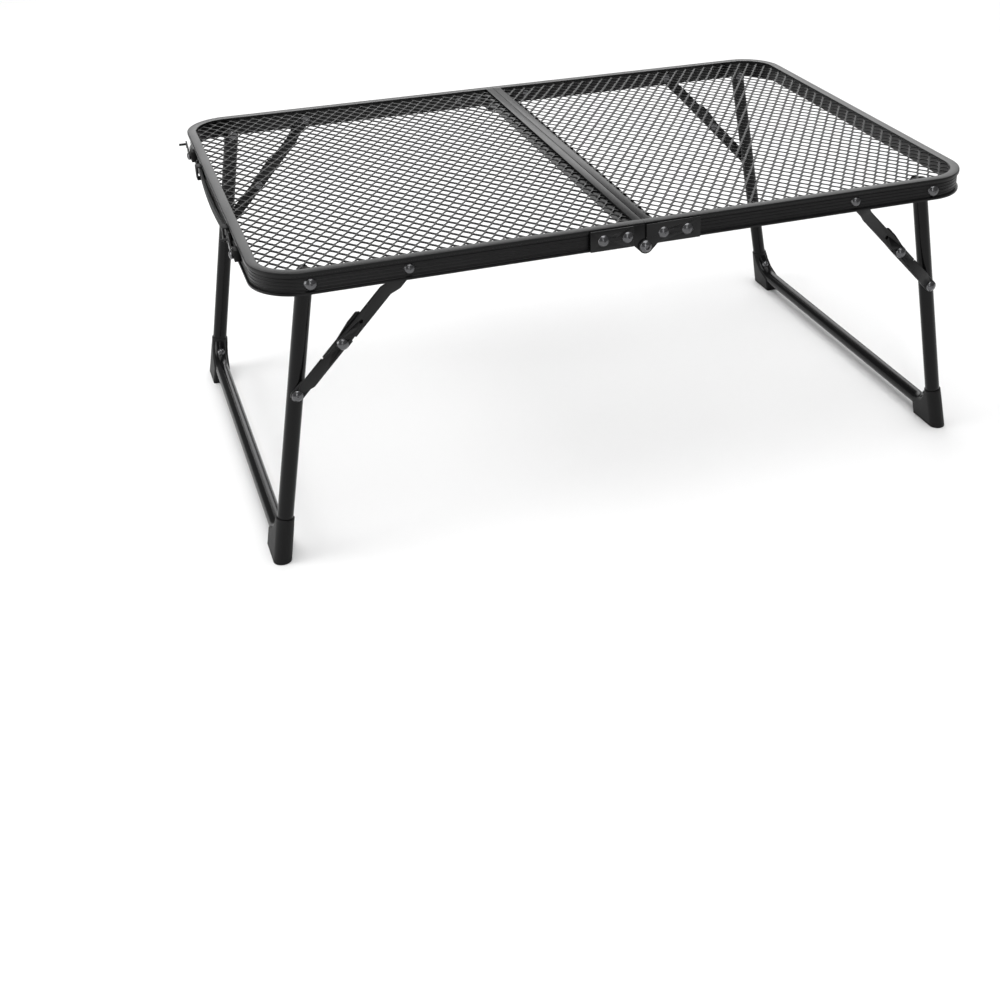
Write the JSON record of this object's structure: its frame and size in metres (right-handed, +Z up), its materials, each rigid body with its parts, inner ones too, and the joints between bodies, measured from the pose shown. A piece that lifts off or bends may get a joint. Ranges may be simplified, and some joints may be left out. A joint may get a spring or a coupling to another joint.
{
  "type": "folding table",
  "caption": "Low folding camping table: two framed mesh halves on a centre hinge, tube leg frames with folding stays, turning latches and a carrying strap.",
  "frame": {"origin": "on the floor under the middle of the open table", "axes": "+Z up, +X along the table towards the half without latches, +Y towards its rear long side"},
  "size_m": [0.6178, 0.4104, 0.25],
  "materials": {
    "frame": "satin black powder coat",
    "mesh": "satin black powder coat on expanded steel",
    "leg_tube": "semi-gloss black powder coat",
    "plate": "satin black coated steel",
    "rivets": "black coated steel, worn bright at the crown",
    "plastic": "matt black moulded plastic",
    "strap": "matt black flexible ribbed band"
  },
  "bodies": {
    "left_half": {"left_rail": "frame", "left_crossbar": "frame", "left_mesh": "mesh", "left_hinge_leaf_front": "plate", "left_hinge_leaf_rear": "plate", "left_hinge_rivets": "rivets", "left_leg_pivot_rivets": "rivets", "left_pivot_spacers": "plastic", "left_stay_rivets": "rivets", "strap_brackets": "plastic", "bracket_rivets": "rivets", "carry_strap": "strap", "latch_blocks": "plastic", "latch_rivets": "rivets"},
    "hinge_bolts": {"hinge_bolts": "rivets"},
    "right_half": {"right_rail": "frame", "right_crossbar": "frame", "right_mesh": "mesh", "right_hinge_leaf_front": "plate", "right_hinge_leaf_rear": "plate", "right_hinge_rivets": "rivets", "right_leg_pivot_rivets": "rivets", "right_pivot_spacers": "plastic", "right_stay_rivets": "rivets", "latch_studs": "rivets"},
    "left_legs": {"left_leg_frame": "leg_tube", "left_foot_front": "plastic", "left_foot_rear": "plastic", "left_foot_screws": "rivets", "left_tube_plugs": "plastic", "left_leg_stay_rivets": "rivets"},
    "right_legs": {"right_leg_frame": "leg_tube", "right_foot_front": "plastic", "right_foot_rear": "plastic", "right_foot_screws": "rivets", "right_tube_plugs": "plastic", "right_leg_stay_rivets": "rivets"},
    "upper_stay_left_front": {"upper_link_left_front": "plate", "knuckle_head_left_front": "rivets"},
    "lower_stay_left_front": {"lower_link_left_front": "plate", "knuckle_tail_left_front": "rivets"},
    "upper_stay_left_rear": {"upper_link_left_rear": "plate", "knuckle_head_left_rear": "rivets"},
    "lower_stay_left_rear": {"lower_link_left_rear": "plate", "knuckle_tail_left_rear": "rivets"},
    "upper_stay_right_front": {"upper_link_right_front": "plate", "knuckle_head_right_front": "rivets"},
    "lower_stay_right_front": {"lower_link_right_front": "plate", "knuckle_tail_right_front": "rivets"},
    "upper_stay_right_rear": {"upper_link_right_rear": "plate", "knuckle_head_right_rear": "rivets"},
    "lower_stay_right_rear": {"lower_link_right_rear": "plate", "knuckle_tail_right_rear": "rivets"},
    "latch_front": {"latch_arm_front": "plate"},
    "latch_rear": {"latch_arm_rear": "plate"}
  },
  "joints": [
    {"name": "centre_fold_left", "type": "hinge", "parent": "left_half", "child": "hinge_bolts", "pos_m": [0, 0, 0.231], "axis": [0, 1, 0], "range_deg": [0, 90]},
    {"name": "centre_fold_right", "type": "hinge", "parent": "hinge_bolts", "child": "right_half", "pos_m": [0, 0, 0.231], "axis": [0, 1, 0], "range_deg": [0, 90]},
    {"name": "left_leg_fold", "type": "hinge", "parent": "left_half", "child": "left_legs", "pos_m": [-0.2595, 0, 0.2396], "axis": [0, -1, 0], "range_deg": [0, 99.5]},
    {"name": "right_leg_fold", "type": "hinge", "parent": "right_half", "child": "right_legs", "pos_m": [0.2595, 0, 0.2396], "axis": [0, 1, 0], "range_deg": [0, 99.5]},
    {"name": "upper_stay_left_front_turn", "type": "hinge", "parent": "left_half", "child": "upper_stay_left_front", "pos_m": [-0.1865, -0.1955, 0.2402], "axis": [0, -1, 0], "range_deg": [0, 131.16]},
    {"name": "lower_stay_left_front_turn", "type": "hinge", "parent": "left_legs", "child": "lower_stay_left_front", "pos_m": [-0.27551, -0.1837, 0.14494], "axis": [0, 1, 0], "range_deg": [0, 148.36]},
    {"name": "upper_stay_left_rear_turn", "type": "hinge", "parent": "left_half", "child": "upper_stay_left_rear", "pos_m": [-0.1865, 0.1955, 0.2402], "axis": [0, -1, 0], "range_deg": [0, 131.16]},
    {"name": "lower_stay_left_rear_turn", "type": "hinge", "parent": "left_legs", "child": "lower_stay_left_rear", "pos_m": [-0.27551, 0.1837, 0.14494], "axis": [0, 1, 0], "range_deg": [0, 148.36]},
    {"name": "upper_stay_right_front_turn", "type": "hinge", "parent": "right_half", "child": "upper_stay_right_front", "pos_m": [0.1865, -0.1955, 0.2402], "axis": [0, 1, 0], "range_deg": [0, 131.16]},
    {"name": "lower_stay_right_front_turn", "type": "hinge", "parent": "right_legs", "child": "lower_stay_right_front", "pos_m": [0.27551, -0.1837, 0.14494], "axis": [0, -1, 0], "range_deg": [0, 148.36]},
    {"name": "upper_stay_right_rear_turn", "type": "hinge", "parent": "right_half", "child": "upper_stay_right_rear", "pos_m": [0.1865, 0.1955, 0.2402], "axis": [0, 1, 0], "range_deg": [0, 131.16]},
    {"name": "lower_stay_right_rear_turn", "type": "hinge", "parent": "right_legs", "child": "lower_stay_right_rear", "pos_m": [0.27551, 0.1837, 0.14494], "axis": [0, -1, 0], "range_deg": [0, 148.36]},
    {"name": "latch_front_turn", "type": "hinge", "parent": "left_half", "child": "latch_front", "pos_m": [-0.304, -0.123, 0.2406], "axis": [-1, 0, 0], "range_deg": [0, 108]},
    {"name": "latch_rear_turn", "type": "hinge", "parent": "left_half", "child": "latch_rear", "pos_m": [-0.304, 0.123, 0.2406], "axis": [-1, 0, 0], "range_deg": [0, 108]}
  ],
  "couplings": [
    {"joint": "upper_stay_left_front_turn", "follows": "left_leg_fold", "ratio": 1.3181},
    {"joint": "lower_stay_left_front_turn", "follows": "left_leg_fold", "ratio": 1.491},
    {"joint": "upper_stay_left_rear_turn", "follows": "left_leg_fold", "ratio": 1.3181},
    {"joint": "lower_stay_left_rear_turn", "follows": "left_leg_fold", "ratio": 1.491},
    {"joint": "upper_stay_right_front_turn", "follows": "right_leg_fold", "ratio": 1.3181},
    {"joint": "lower_stay_right_front_turn", "follows": "right_leg_fold", "ratio": 1.491},
    {"joint": "upper_stay_right_rear_turn", "follows": "right_leg_fold", "ratio": 1.3181},
    {"joint": "lower_stay_right_rear_turn", "follows": "right_leg_fold", "ratio": 1.491}
  ]
}
